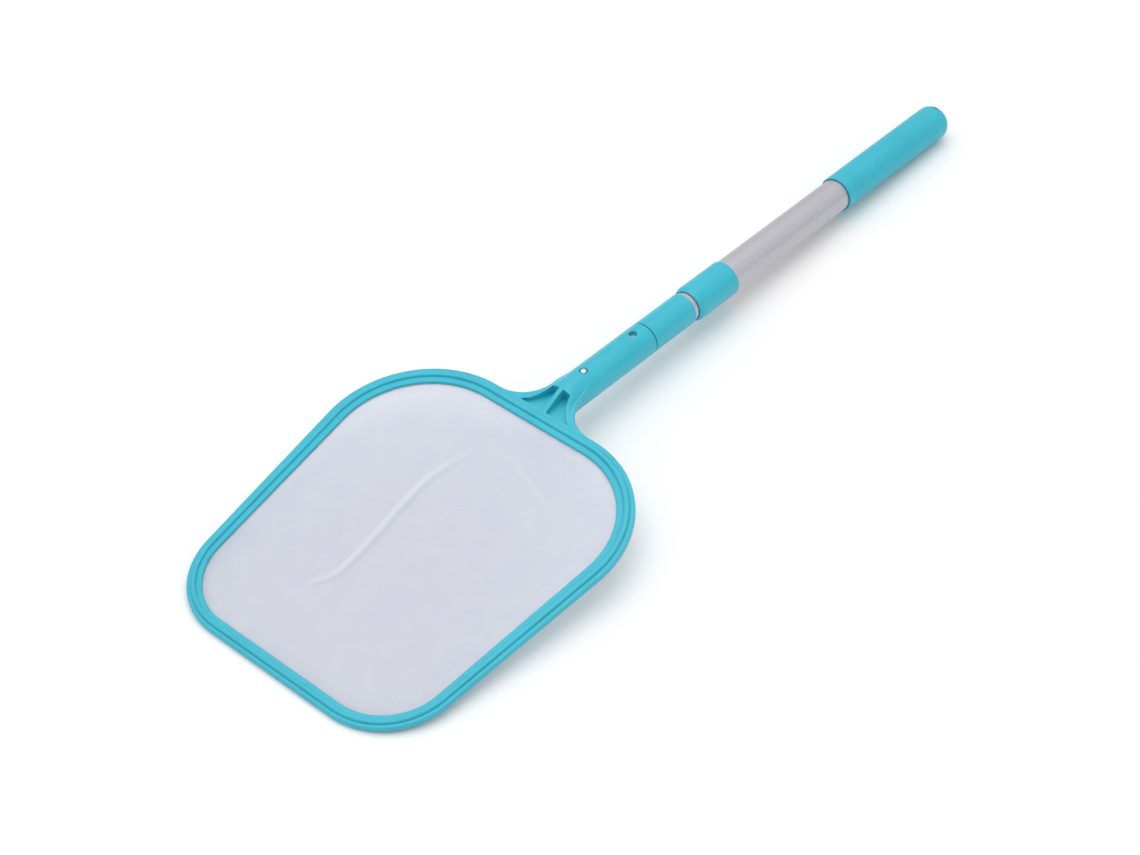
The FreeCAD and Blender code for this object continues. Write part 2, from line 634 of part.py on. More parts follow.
cell("arm_outside", -clip_outer_radius)
cell("arm_inside", -clip_inner_radius)
cell("button_shoulder", button_tip_radius - button_dome)
cell("rivet_end", clip_inner_radius - rivet_head_height)


def clip_side(side, place):
    """One spring arm with its riveted button; the arm lies on the -Y side of the pole's axis."""
    arm = new_body(side + "_clip_arm", place)
    section = body_sketch(arm, side + "_arm_section", "XY_Plane", "clip_arm_free_end")
    polygon(section, [("clip_half_width_negative", "arm_outside"), ("clip_half_width", "arm_outside"),
                      ("clip_half_width", "arm_inside"), ("clip_half_width_negative", "arm_inside")])
    pad(arm, section, "clip_arm_length_cut")
    rivet_hole = body_sketch(arm, side + "_arm_hole", "XZ_Plane")
    circle(rivet_hole, "rivet_radius", None, "button_station")
    pocket_through(arm, rivet_hole)
    outward = Placement(Vector(0, 0, button_station), Rotation(X_AXIS, 90))
    button = turned(side + "_button", [
        (None, "rivet_end"), ("rivet_head_radius", "rivet_end"),
        ("rivet_head_radius", "clip_inner_radius"), ("rivet_radius", "clip_inner_radius"),
        ("rivet_radius", "clip_outer_radius"), ("button_radius", "clip_outer_radius"),
        ("button_radius", "button_tip_radius"), (None, "button_tip_radius")], place * outward)
    ease(button, "button_dome", ring_at(button_tip_radius, button_radius))
    return [arm, button]


clips = clip_side("upper", POLE) + clip_side("lower", POLE_UNDER)


# ---------------------------------------------------------------- head
def belt_sketch(body, name, height, layers):
    """A sketch in the head's frame at the cell height, bounded by belts."""
    sketch = body_sketch(body, name, "XY_Plane", height)
    for layer_name in layers:
        belt(sketch, layer_name)
    return sketch


def level_edge(height):
    """Pick edges that lie level at one height."""
    def chosen(edge):
        box = edge.BoundBox
        return box.ZLength < 1e-6 and abs(box.ZMin - height) < 1e-6
    return chosen


def opening_edge(body, height):
    """Pick the edges of the opening in the level face of a body at that height."""
    face = [f for f in body.Tip.Shape.Faces if abs(f.BoundBox.ZMin - height) < 1e-6 and
            f.BoundBox.ZLength < 1e-6][0]
    inner = [edge for wire in face.Wires if not wire.isSame(face.OuterWire) for edge in wire.Edges]
    return lambda edge: any(edge.isSame(other) for other in inner)


def cylinder(name, radius, length, place):
    """A cylinder along its own +Z, sized by cells."""
    solid = doc.addObject("Part::Cylinder", name)
    solid.setExpression("Radius", "dims." + radius)
    solid.setExpression("Height", "dims." + length)
    solid.Placement = place
    return solid


def free_sketch(name, place):
    sketch = doc.addObject("Sketcher::SketchObject", name)
    sketch.Placement = place
    return sketch


def raised(sketch, height):
    """A solid extruded from a free sketch along its normal by the cell height."""
    solid = doc.addObject("Part::Extrusion", sketch.Name + "_solid")
    solid.Base = sketch
    solid.DirMode = "Normal"
    solid.Solid = True
    solid.setExpression("LengthFwd", "dims." + height)
    return solid


def head_level(name):
    return HEAD * Placement(Vector(0, 0, size[name]), Rotation())


# rim: an outer lip with rounded edges, and inside it the lower seat that the net is clamped on
cell("lip_height", lip_top - rim_bottom)
cell("seat_depth", lip_top - seat_top)
rim = new_body("rim_blank", HEAD)
pad(rim, belt_sketch(rim, "rim_plate", "rim_bottom", ["rim"]), "lip_height")

# gusset plate: flat, with a concave flare each side that runs from the rim to the socket
cell("gusset_rim_y", -rim_reach)
cell("gusset_flare_y", gusset_flare - rim_reach)
cell("gusset_inner_y", -rim_reach - gusset_overlap)
cell("gusset_neck_x", gusset_half_width - gusset_flare)
cell("gusset_neck_y", size["gusset_flare_y"] + gusset_neck_length)
cell("gusset_half_width_left", -gusset_half_width)
cell("gusset_neck_left", -size["gusset_neck_x"])
cell("gusset_tip_left", -gusset_neck_tip)


def flared_plate(sketch):
    """Outline of the gusset plate: a bar in the rim's lip, two flares and a tapered neck."""
    corners = [("gusset_half_width_left", "gusset_inner_y"), ("gusset_half_width", "gusset_inner_y"),
               ("gusset_half_width", "gusset_rim_y"), ("gusset_neck_x", "gusset_flare_y"),
               ("gusset_neck_tip", "gusset_neck_y"), ("gusset_tip_left", "gusset_neck_y"),
               ("gusset_neck_left", "gusset_flare_y"), ("gusset_half_width_left", "gusset_rim_y")]
    points = [Vector(size[x], size[y], 0) for x, y in corners]
    arcs = {2: (gusset_half_width, math.pi), 6: (-gusset_half_width, 1.5 * math.pi)}
    for i in range(8):
        if i in arcs:
            middle_x, start = arcs[i]
            whole = Part.Circle(Vector(middle_x, size["gusset_flare_y"], 0), Vector(0, 0, 1), gusset_flare)
            sketch.addGeometry(Part.ArcOfCircle(whole, start, start + math.pi / 2))
        else:
            sketch.addGeometry(Part.LineSegment(points[i], points[(i + 1) % 8]))
    for i in range(8):
        after = (i + 1) % 8
        last, first = (1 if i in arcs else 2), (2 if after in arcs else 1)
        sketch.addConstraint(Sketcher.Constraint("Coincident", i, last, after, first))
    for i, (x, y) in enumerate(corners):
        pin_point(sketch, i, 2 if i in arcs else 1, x, y)
    for i in arcs:
        bind(sketch, "Radius", (i,), "gusset_flare")


plate_sketch = body_sketch(rim, "gusset_plate", "XY_Plane", "rim_bottom")
flared_plate(plate_sketch)
pad(rim, plate_sketch, "lip_height")

# the rim's level edges are rounded all the way round, up to the neck's end, which the hump covers
ease(rim, "lip_round", lambda edge: edge.BoundBox.ZLength < 1e-6
     and edge.CenterOfMass.y < size["gusset_neck_y"] - lip_round)
recess = rim.newObject("PartDesign::Pocket", "seat_recess_cut")
recess.Profile = belt_sketch(rim, "seat_recess", "lip_top", ["lip"])
recess.setExpression("Length", "dims.seat_depth")
doc.recompute()
pocket_through(rim, belt_sketch(rim, "rim_opening", "rim_bottom", ["seat"]))

# hump: blends the round socket into the plate through ever flatter ellipses
cell("hump_start_rise", 0)
cell("hump_start_height", socket_radius)
cell("hump_start_width", socket_radius)
for name in ("second", "third"):
    cell("hump_%s_height" % name, socket_radius - size["hump_%s_drop" % name])
for name in ("second", "third", "end"):
    cell("hump_%s_width" % name, socket_radius + size["hump_%s_spread" % name])
hump_sections = []
for name in ("hump_start", "hump_second", "hump_third", "hump_end"):
    section = doc.addObject("Part::Ellipse", name + "_section")
    section.setExpression("MajorRadius", "dims.%s_width" % name)
    section.setExpression("MinorRadius", "dims.%s_height" % name)
    station = size[name + "_stand"] - rim_reach
    section.Placement = POLE * Placement(Vector(0, -size[name + "_rise"], station), Rotation())
    hump_sections.append(section)
hump = doc.addObject("Part::Loft", "hump")
hump.Sections = hump_sections
hump.Solid = True

# socket: a blind round tube on the pole's axis, with two pairs of button holes
cell("socket_length", rim_reach - hump_start_stand)
cell("bore_length", socket_depth + bore_over)
cell("hole_length", 2 * socket_radius + 2 * bore_over)
socket = cylinder("socket", "socket_radius", "socket_length",
                  POLE * Placement(Vector(0, 0, -size["socket_length"]), Rotation()))
doc.recompute()
socket_eased = doc.addObject("Part::Chamfer", "socket_eased")
socket_eased.Base = socket
mouth_edges = [i + 1 for i, edge in enumerate(socket.Shape.Edges)
               if edge.isClosed() and abs(POLE.inverse().multVec(edge.BoundBox.Center).z) < 1e-3]
socket_eased.Edges = [(i, socket_mouth_chamfer, socket_mouth_chamfer) for i in mouth_edges]
bore = cylinder("socket_bore", "socket_bore", "bore_length",
                POLE * Placement(Vector(0, 0, -socket_depth), Rotation()))
across = Placement(Vector(0, -size["hole_length"] / 2, 0), Rotation(X_AXIS, -90))
holes = [cylinder(name, "socket_hole_radius", "hole_length",
                  POLE * Placement(Vector(0, 0, size[station]), Rotation()) * across)
         for name, station in (("button_holes", "button_station"), ("spare_holes", "spare_hole_station"))]

# pockets: one each side of a centre rib, their outer walls running along the flares
cell("pocket_floor", rim_bottom + pocket_skin)
cell("pocket_flare", gusset_flare + side_rib)
cell("pocket_rim_y", -rim_reach - pocket_stand)
cell("pocket_head_y", size["pocket_rim_y"] + pocket_length)
cell("pocket_inner_x_left", -pocket_inner_x)


def pocket_outline(sketch, side):
    """Outline of one pocket: three straight walls and one that follows the flare."""
    centre = Vector(side * gusset_half_width, size["gusset_flare_y"], 0)
    radius = size["pocket_flare"]
    near = math.asin((size["gusset_flare_y"] - size["pocket_head_y"]) / radius)
    far = math.asin((size["gusset_flare_y"] - size["pocket_rim_y"]) / radius)
    whole = Part.Circle(centre, Vector(0, 0, 1), radius)
    turn = (math.pi + near, math.pi + far) if side > 0 else (-far, -near)
    arc = sketch.addGeometry(Part.ArcOfCircle(whole, *turn))
    wall = sketch.Geometry[arc]
    head_end, rim_end = (1, 2) if side > 0 else (2, 1)
    top, bottom = ((wall.StartPoint, wall.EndPoint) if side > 0 else (wall.EndPoint, wall.StartPoint))
    rib_top = Vector(side * pocket_inner_x, size["pocket_head_y"], 0)
    rib_bottom = Vector(side * pocket_inner_x, size["pocket_rim_y"], 0)
    sketch.addGeometry(Part.LineSegment(top, rib_top))
    sketch.addGeometry(Part.LineSegment(rib_top, rib_bottom))
    sketch.addGeometry(Part.LineSegment(rib_bottom, bottom))
    sketch.addConstraint(Sketcher.Constraint("Coincident", arc, head_end, arc + 1, 1))
    sketch.addConstraint(Sketcher.Constraint("Coincident", arc + 1, 2, arc + 2, 1))
    sketch.addConstraint(Sketcher.Constraint("Coincident", arc + 2, 2, arc + 3, 1))
    sketch.addConstraint(Sketcher.Constraint("Coincident", arc + 3, 2, arc, rim_end))
    bind(sketch, "DistanceX", (arc, 3), "gusset_half_width" if side > 0 else "gusset_half_width_left")
    bind(sketch, "DistanceY", (arc, 3), "gusset_flare_y")
    bind(sketch, "Radius", (arc,), "pocket_flare")
    bind(sketch, "DistanceX", (arc + 2, 1), "pocket_inner_x" if side > 0 else "pocket_inner_x_left")
    sketch.addConstraint(Sketcher.Constraint("Vertical", arc + 2))
    bind(sketch, "DistanceY", (arc, head_end), "pocket_head_y")
    bind(sketch, "DistanceY", (arc + 1, 2), "pocket_head_y")
    bind(sketch, "DistanceY", (arc, rim_end), "pocket_rim_y")
    bind(sketch, "DistanceY", (arc + 2, 2), "pocket_rim_y")


normal = HEAD.Rotation.multVec(Vector(0, 0, 1))
pockets = []
for side_name, side in (("right", 1), ("left", -1)):
    pocket_sketch = free_sketch(side_name + "_pocket", head_level("pocket_floor"))
    pocket_outline(pocket_sketch, side)
    blank = raised(pocket_sketch, "pocket_clear")
    doc.recompute()
    pocket = doc.addObject("Part::Fillet", side_name + "_pocket_eased")
    pocket.Base = blank
    upright = [i + 1 for i, edge in enumerate(blank.Shape.Edges)
               if abs(edge.tangentAt(edge.FirstParameter).dot(normal)) > 0.999]
    pocket.Edges = [(i, pocket_corner, pocket_corner) for i in upright]
    pockets.append(pocket)

solid_head = doc.addObject("Part::MultiFuse", "solid_head")
solid_head.Shapes = [rim, hump, socket_eased]
hollows = doc.addObject("Part::MultiFuse", "head_hollows")
hollows.Shapes = [bore] + holes + pockets
head_frame = doc.addObject("Part::Cut", "head_frame")
head_frame.Label = "head_frame"
head_frame.Base = solid_head
head_frame.Tool = hollows
doc.recompute()

# retaining ring: a flat flange with a rounded bead on top, pressed in on the net's edge
cell("flange_height", flange_top - size["ring_bottom"])
cell("bead_height", bead_top - size["ring_bottom"])
net_ring = new_body("net_ring", HEAD)
pad(net_ring, belt_sketch(net_ring, "ring_flange", "ring_bottom", ["ring", "flange"]), "flange_height")
ease(net_ring, "flange_round", opening_edge(net_ring, flange_top))
pad(net_ring, belt_sketch(net_ring, "ring_bead", "ring_bottom", ["bead_out", "bead_in"]), "bead_height")
ease(net_ring, "bead_ease", level_edge(bead_top))

# net: its edge is clamped between seat and ring, and inside the ring it sags to a flat floor
cell("net_floor_under", seat_top - net_sag)
cell("net_floor_top", ring_bottom - net_sag)


def net_loft(name, top, floor):
    """A solid dish from the ring's inner edge down to the flat floor of the net."""
    loft = doc.addObject("Part::Loft", name)
    sections = []
    for level, layer_name in ((top, "flange"), (floor, "net_floor")):
        section = free_sketch(name + "_" + layer_name, head_level(level))
        belt(section, layer_name)
        sections.append(section)
    loft.Sections = sections
    loft.Solid = True
    loft.Ruled = True
    return loft


net_edge_sketch = free_sketch("net_edge", head_level("seat_top"))
belt(net_edge_sketch, "net_edge")
net_blank = doc.addObject("Part::MultiFuse", "net_blank")
net_blank.Shapes = [net_loft("net_under", "seat_top", "net_floor_under"),
                    raised(net_edge_sketch, "net_thickness")]
net_mesh = doc.addObject("Part::Cut", "net_mesh")
net_mesh.Label = "net_mesh"
net_mesh.Base = net_blank
net_mesh.Tool = net_loft("net_above", "ring_bottom", "net_floor_top")
doc.recompute()

# ---------------------------------------------------------------- check and write
pieces = [head_frame, net_ring, net_mesh, inner_tube, middle_tube, outer_tube, grip, end_plug,
          clip_bend] + collars + locks + clips
for item in doc.Objects:
    if {"Invalid", "Error"} & set(item.State):
        raise RuntimeError("%s did not build: %s" % (item.Label, item.State))
os.makedirs("parts", exist_ok=True)
for piece in pieces:
    shape = piece.Shape
    if shape.isNull() or not shape.isValid() or len(shape.Solids) != 1:
        raise RuntimeError("%s is not one valid solid" % piece.Label)
    shape.exportStep("parts/%s.step" % piece.Label)
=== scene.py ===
"""Looks of the leaf skimmer net: plastics, drawn tubes, the knitted net, a pale floor and soft light.

Lengths are in metres in the row frame, unless a name ends in _MM. The head has a frame of its own:
x across the net, y from the tip towards the pole, height along the normal of the rim.
"""
import json
import math

import bmesh
import bpy
import numpy as np
from mathutils import Matrix, Vector, noise


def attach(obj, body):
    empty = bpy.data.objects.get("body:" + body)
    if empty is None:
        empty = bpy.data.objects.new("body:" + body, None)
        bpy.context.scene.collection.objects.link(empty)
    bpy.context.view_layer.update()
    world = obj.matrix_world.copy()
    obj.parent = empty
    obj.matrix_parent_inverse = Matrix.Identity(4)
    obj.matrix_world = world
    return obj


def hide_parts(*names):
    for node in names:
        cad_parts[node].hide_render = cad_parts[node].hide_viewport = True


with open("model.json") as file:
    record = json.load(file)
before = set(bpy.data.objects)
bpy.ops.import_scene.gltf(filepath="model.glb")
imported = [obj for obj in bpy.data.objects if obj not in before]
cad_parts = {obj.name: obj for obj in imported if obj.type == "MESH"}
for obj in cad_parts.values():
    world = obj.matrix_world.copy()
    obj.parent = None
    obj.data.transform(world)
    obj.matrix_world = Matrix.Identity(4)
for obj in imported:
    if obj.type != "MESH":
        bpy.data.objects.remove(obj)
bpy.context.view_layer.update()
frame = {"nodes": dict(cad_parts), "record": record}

MM = 0.001
nodes = frame["nodes"]
scene = bpy.context.scene


# ---------------------------------------------------------------- camera
CAMERA_AIM = Vector((0.01235, -0.09905, 0.020))
CAMERA_AZIMUTH = 42.752
CAMERA_ELEVATION = 43.710
CAMERA_ROLL = -2.315
CAMERA_DISTANCE = 1.8401
CAMERA_LENS_MM = 75.78
SENSOR_WIDTH_MM = 36.0


def add_camera():
    """The camera, aimed from an azimuth and an elevation round its target."""
    azimuth, elevation = math.radians(CAMERA_AZIMUTH), math.radians(CAMERA_ELEVATION)
    back = Vector((math.sin(azimuth) * math.cos(elevation), -math.cos(azimuth) * math.cos(elevation),
                   math.sin(elevation)))
    right = Vector((math.cos(azimuth), math.sin(azimuth), 0))
    turn = Matrix((right, back.cross(right), back)).transposed()
    data = bpy.data.cameras.new("camera")
    data.lens, data.sensor_width = CAMERA_LENS_MM, SENSOR_WIDTH_MM
    data.clip_start, data.clip_end = 0.05, 50
    camera = bpy.data.objects.new("camera", data)
    scene.collection.objects.link(camera)
    rolled = turn.to_4x4() @ Matrix.Rotation(math.radians(CAMERA_ROLL), 4, "Z")
    camera.matrix_world = Matrix.Translation(CAMERA_AIM + back * CAMERA_DISTANCE) @ rolled
    scene.camera = camera


# ---------------------------------------------------------------- node helpers
class Shader:
    """A node material under construction, with its Principled shader."""

    def __init__(self, name):
        self.material = bpy.data.materials.new(name)
        self.material.use_nodes = True
        self.tree = self.material.node_tree
        self.tree.nodes.clear()
        self.output = self.tree.nodes.new("ShaderNodeOutputMaterial")
        self.surface = self.tree.nodes.new("ShaderNodeBsdfPrincipled")
        self.link(self.surface.outputs["BSDF"], self.output.inputs["Surface"])
        self.place = self.tree.nodes.new("ShaderNodeTexCoord").outputs["Object"]

    def link(self, source, target):
        self.tree.links.new(source, target)

    def value(self, name, number):
        """Set one of the shader's own sockets."""
        self.surface.inputs[name].default_value = number

    def mapped(self, scale, tilt=0.0):
        """Object coordinates, turned back by tilt degrees about X and then scaled."""
        turn = self.tree.nodes.new("ShaderNodeMapping")
        turn.inputs["Rotation"].default_value = (math.radians(tilt), 0, 0)
        self.link(self.place, turn.inputs["Vector"])
        stretch = self.tree.nodes.new("ShaderNodeMapping")
        stretch.inputs["Scale"].default_value = scale
        self.link(turn.outputs["Vector"], stretch.inputs["Vector"])
        return stretch.outputs["Vector"]

    def noise(self, scale, detail=2.0, rough=0.5, vector=None):
        """Fractal noise from 0 to 1, with scale waves to the metre."""
        texture = self.tree.nodes.new("ShaderNodeTexNoise")
        texture.inputs["Scale"].default_value = scale
        texture.inputs["Detail"].default_value = detail
        texture.inputs["Roughness"].default_value = rough
        self.link(vector or self.place, texture.inputs["Vector"])
        return texture.outputs["Fac"]

    def ranged(self, source, low, high, new_low, new_high):
        """Map source from low..high to new_low..new_high, held at the ends."""
        change = self.tree.nodes.new("ShaderNodeMapRange")
        change.inputs["From Min"].default_value = low
        change.inputs["From Max"].default_value = high
        change.inputs["To Min"].default_value = new_low
        change.inputs["To Max"].default_value = new_high
        self.link(source, change.inputs["Value"])
        return change.outputs["Result"]

    def maths(self, operation, *sources):
        """One Math node of sockets and plain numbers."""
        step = self.tree.nodes.new("ShaderNodeMath")
        step.operation = operation
        for i, source in enumerate(sources):
            if isinstance(source, (int, float)):
                step.inputs[i].default_value = source
            else:
                self.link(source, step.inputs[i])
        return step.outputs[0]

    def mixed(self, factor, first, second):
        """A colour between two, each a socket or a linear RGB triple."""
        mix = self.tree.nodes.new("ShaderNodeMix")
        mix.data_type = "RGBA"
        self.link(factor, mix.inputs["Factor"])
        for name, colour in (("A", first), ("B", second)):
            socket = [s for s in mix.inputs if s.name == name and s.type == "RGBA"][0]
            if isinstance(colour, tuple):
                socket.default_value = (*colour, 1)
            else:
                self.link(colour, socket)
        return [s for s in mix.outputs if s.type == "RGBA"][0]

    def bump(self, height, distance, strength=1.0, below=None):
        """A bump of height 0 to 1 over a distance in metres, on top of another bump."""
        relief = self.tree.nodes.new("ShaderNodeBump")
        relief.inputs["Strength"].default_value = strength
        relief.inputs["Distance"].default_value = distance
        self.link(height, relief.inputs["Height"])
        if below:
            self.link(below, relief.inputs["Normal"])
        return relief.outputs["Normal"]

    def finish(self, colour, roughness, normal):
        self.link(colour, self.surface.inputs["Base Color"])
        self.link(roughness, self.surface.inputs["Roughness"])
        self.link(normal, self.surface.inputs["Normal"])
        return self.material


# ---------------------------------------------------------------- materials
POLE_TILT = 2.542
TEAL = (0.034, 0.470, 0.600)
TEAL_DEEP = (0.026, 0.430, 0.555)
TEAL_PALE = (0.065, 0.530, 0.665)


def moulded_plastic(name, colour, deep, pale, gloss):
    """Satin injection-moulded plastic: cloudy pigment, faint flow lines, fine grain and light rubs."""
    shader = Shader(name)
    shader.value("IOR", 1.48)
    shader.value("Subsurface Weight", 0.06)
    shader.value("Subsurface Radius", (0.3, 0.9, 1.0))
    shader.value("Subsurface Scale", 0.0015)
    clouds = shader.noise(22, 3.0)
    flow = shader.noise(1, 2.0, vector=shader.mapped((260, 26, 260)))
    rubs = shader.noise(1, 4.0, 0.7, shader.mapped((90, 420, 300)))
    grain = shader.noise(2600, 2.0)
    pigment = shader.maths("ADD", shader.maths("MULTIPLY", clouds, 0.65),
                           shader.maths("MULTIPLY", flow, 0.35))
    body = shader.mixed(shader.ranged(pigment, 0.35, 0.65, 0, 1), deep, colour)
    worn = shader.ranged(rubs, 0.62, 0.78, 0, 0.35)
    tint = shader.mixed(worn, body, pale)
    rough = shader.maths("ADD", shader.ranged(clouds, 0.3, 0.7, gloss - 0.04, gloss + 0.05),
                         shader.maths("MULTIPLY", worn, 0.2))
    swell = shader.bump(flow, 0.00015, 0.25)
    skin = shader.bump(grain, 0.00003, 0.35, swell)
    return shader.finish(tint, rough, skin)


def drawn_aluminium(name):
    """Anodised drawn tube: fine lines along the pole, soft bands and a few dull specks."""
    shader = Shader(name)
    shader.value("Metallic", 0.9)
    lines = shader.noise(1, 2.0, 0.5, shader.mapped((900, 3, 900), POLE_TILT))
    bands = shader.noise(1, 2.0, 0.5, shader.mapped((160, 3, 160), POLE_TILT))
    specks = shader.noise(900, 2.0)
    tone = shader.mixed(shader.ranged(lines, 0.3, 0.7, 0, 1), (0.535, 0.53, 0.575), (0.585, 0.58, 0.625))
    dull = shader.ranged(specks, 0.66, 0.74, 0, 0.2)
    tint = shader.mixed(dull, tone, (0.43, 0.43, 0.46))
    rough = shader.maths("ADD", shader.ranged(bands, 0.3, 0.7, 0.30, 0.42),
                         shader.maths("MULTIPLY", lines, 0.06))
    return shader.finish(tint, rough, shader.bump(lines, 0.00003, 0.35))


def plain_steel(name, dark, light, low, high, stretch):
    """Cold-rolled or plated steel with fine rolling marks and a slightly uneven lustre."""
    shader = Shader(name)
    shader.value("Metallic", 1.0)
    marks = shader.noise(1, 3.0, 0.6, shader.mapped(stretch, POLE_TILT))
    lustre = shader.noise(380, 3.0)
    tint = shader.mixed(shader.ranged(lustre, 0.3, 0.7, 0, 1), dark, light)
    return shader.finish(tint, shader.ranged(marks, 0.3, 0.7, low, high), shader.bump(marks, 0.00003, 0.5))


def natural_plastic(name):
    """Unpigmented guide plastic: milky, slightly warm, with soft sink marks."""
    shader = Shader(name)
    shader.value("Subsurface Weight", 0.2)
    shader.value("Subsurface Scale", 0.002)
    clouds = shader.noise(140, 3.0)
    tint = shader.mixed(shader.ranged(clouds, 0.3, 0.7, 0, 1), (0.74, 0.74, 0.71), (0.82, 0.82, 0.80))
    grain = shader.noise(3000, 2.0)
    return shader.finish(tint, shader.ranged(clouds, 0.3, 0.7, 0.42, 0.52), shader.bump(grain, 0.00003, 0.4))


MESH_PITCH = 0.00075
THREAD_SHARE = 0.62
FOLD_LIGHT_ATTRIBUTE = "fold_light_and_shade"


def knitted_net(name):
    """Fine nylon mesh: crossing threads with open squares between them, woven over and under, with a painted
    highlight along each crease crest and painted shade on one side of it.
    """
    shader = Shader(name)
    shader.value("Sheen Weight", 0.15)
    shader.value("Subsurface Weight", 0.0)
    split = shader.tree.nodes.new("ShaderNodeSeparateXYZ")
    shader.link(shader.place, split.inputs[0])
    wave = 2 * math.pi / MESH_PITCH
    across = shader.maths("COSINE", shader.maths("MULTIPLY", split.outputs["X"], wave))
    along = shader.maths("COSINE", shader.maths("MULTIPLY", split.outputs["Y"], wave))
    edge = math.cos(math.pi * THREAD_SHARE)
    thread = shader.maths("MAXIMUM", across, along)
    solid = shader.ranged(thread, edge - 0.15, edge + 0.15, 0, 1)
    weave = shader.maths("MULTIPLY", across, along)
    uneven = shader.noise(60, 3.0)
    slub = shader.noise(1, 2.0, 0.5, shader.mapped((2600, 60, 60)))
    tint = shader.mixed(shader.ranged(uneven, 0.3, 0.7, 0, 1), (0.685, 0.71, 0.80), (0.725, 0.745, 0.83))
    drawn = shader.mixed(shader.ranged(slub, 0.4, 0.75, 0, 0.4), tint, (0.785, 0.80, 0.87))
    # The fold attribute paints light into the colour: it is positive on the crease crests and negative on a
    # shaded flank beside them.
    fold_light_and_shade = shader.tree.nodes.new("ShaderNodeAttribute")
    fold_light_and_shade.attribute_name = FOLD_LIGHT_ATTRIBUTE
    # Painted highlight: the colour turns paler along the crease crests.
    crest = shader.mixed(shader.ranged(fold_light_and_shade.outputs["Fac"], 0, 1, 0, 1), drawn, (0.86, 0.88, 0.93))
    # Painted shade: the colour turns darker on the flank beside each crease.
    tone = shader.mixed(shader.ranged(fold_light_and_shade.outputs["Fac"], -1, 0, 0.55, 0), crest, (0.47, 0.51, 0.60))
    relief = shader.bump(shader.maths("ADD", thread, shader.maths("MULTIPLY", weave, 0.5)), 0.00012, 0.5)
    rough = shader.ranged(uneven, 0.3, 0.7, 0.55, 0.68)
    material = shader.finish(tone, rough, relief)
    gap = shader.tree.nodes.new("ShaderNodeBsdfTransparent")
    through = shader.tree.nodes.new("ShaderNodeBsdfTranslucent")
    shader.link(tone, through.inputs["Color"])
    cloth = shader.tree.nodes.new("ShaderNodeMixShader")
    cloth.inputs[0].default_value = 0.25
    shader.link(shader.surface.outputs["BSDF"], cloth.inputs[1])
    shader.link(through.outputs["BSDF"], cloth.inputs[2])
    holes = shader.tree.nodes.new("ShaderNodeMixShader")
    shader.link(solid, holes.inputs[0])
    shader.link(gap.outputs["BSDF"], holes.inputs[1])
    shader.link(cloth.outputs["Shader"], holes.inputs[2])
    shader.link(holes.outputs["Shader"], shader.output.inputs["Surface"])
    return material


def dress_cad_nodes():
    """Give every CAD node the material of the slot that the record names for it."""
    made = {
        "frame_plastic": moulded_plastic("frame_plastic", TEAL, TEAL_DEEP, TEAL_PALE, 0.33),
        "ring_plastic": moulded_plastic("ring_plastic", TEAL, TEAL_DEEP, TEAL_PALE, 0.30),
        "collar_plastic": moulded_plastic("collar_plastic", TEAL, TEAL_DEEP, TEAL_PALE, 0.34),
        "grip_plastic": moulded_plastic("grip_plastic", TEAL, TEAL_DEEP, TEAL_PALE, 0.40),
        "tube_aluminium": drawn_aluminium("tube_aluminium"),
        "guide_plastic": natural_plastic("guide_plastic"),
        "spring_steel": plain_steel("spring_steel", (0.46, 0.47, 0.49), (0.56, 0.57, 0.59), 0.22, 0.34,
                                    (1800, 60, 1800)),
        "button_metal": plain_steel("button_metal", (0.78, 0.78, 0.80), (0.88, 0.88, 0.90), 0.10, 0.2,
                                    (900, 900, 900)),
        "screw_steel": plain_steel("screw_steel", (0.48, 0.48, 0.50), (0.60, 0.60, 0.63), 0.25, 0.38,
                                   (1500, 1500, 1500)),
        "net_fabric": knitted_net("net_fabric"),
    }
    for part in frame["record"]["subparts"]:
        data = nodes[part["node"]].data
        data.materials.clear()
        data.materials.append(made[part["material_slot"]])
    return made


# ---------------------------------------------------------------- net
NET_ROWS = 134
NET_COLUMNS = 118
EDGE_TRIM = 0.0004
NET_FRAMES = 36
CLOTH = {"quality": 6, "mass": 0.002, "tension_stiffness": 25, "compression_stiffness": 25,
         "shear_stiffness": 8, "bending_stiffness": 0.02, "shrink_min": -0.003, "air_damping": 4}
FREE_AFTER = 0.03
FLOOR_GAP = 0.0004
UNDULATION = 0.0004
CREASE_HEIGHT = 0.0012
CREASE_WIDTH = 0.0021
SHADE_OFFSET = 0.0042
SHADE_SHARE = 0.7
SHORT_CREASE_SHARE = 0.55
FADE_FROM = 1.7
FADE_RATE = 2.9
DOWNWARD = -0.9
SAME_FACING = 0.99999
LONG_CREASE_MM = ((-38, -71), (-30, -58), (-28, -42), (-30, -13), (-33, 17), (-35, 50), (-31, 74),
                  (-24, 92))
SHORT_CREASE_MM = ((-14, 110), (11, 103), (33, 95), (76, 79), (92, 70))


def node_points(name):
    """The corners of a CAD node as an array."""
    return np.array([v.co for v in nodes[name].data.vertices], float)


class Head:
    """The head's own frame, from the retaining ring: its underside is height 0, its middle is y 0."""

    def __init__(self):
        under = [(p.normal.copy(), p.area, p.center.copy()) for p in nodes["net_ring"].data.polygons
                 if p.normal.z < DOWNWARD]
        main = max(under, key=lambda item: item[1])[0]
        flat = [item for item in under if item[0].dot(main) > SAME_FACING]
        normal = -sum((n * area for n, area, _ in flat), Vector()).normalized()
        along = normal.cross(Vector((1, 0, 0))).normalized()
        self.axes = np.array([(1, 0, 0), along, normal])
        self.origin = np.array(flat[0][2]) * (0, 1, 1)
        self.ring = self.local(node_points("net_ring"))
        middle = (self.ring[:, 1].min() + self.ring[:, 1].max()) / 2
        self.origin = self.origin + middle * self.axes[1]
        self.ring[:, 1] -= middle

    def local(self, points):
        return (points - self.origin) @ self.axes.T

    def world(self, points):
        return points @ self.axes + self.origin


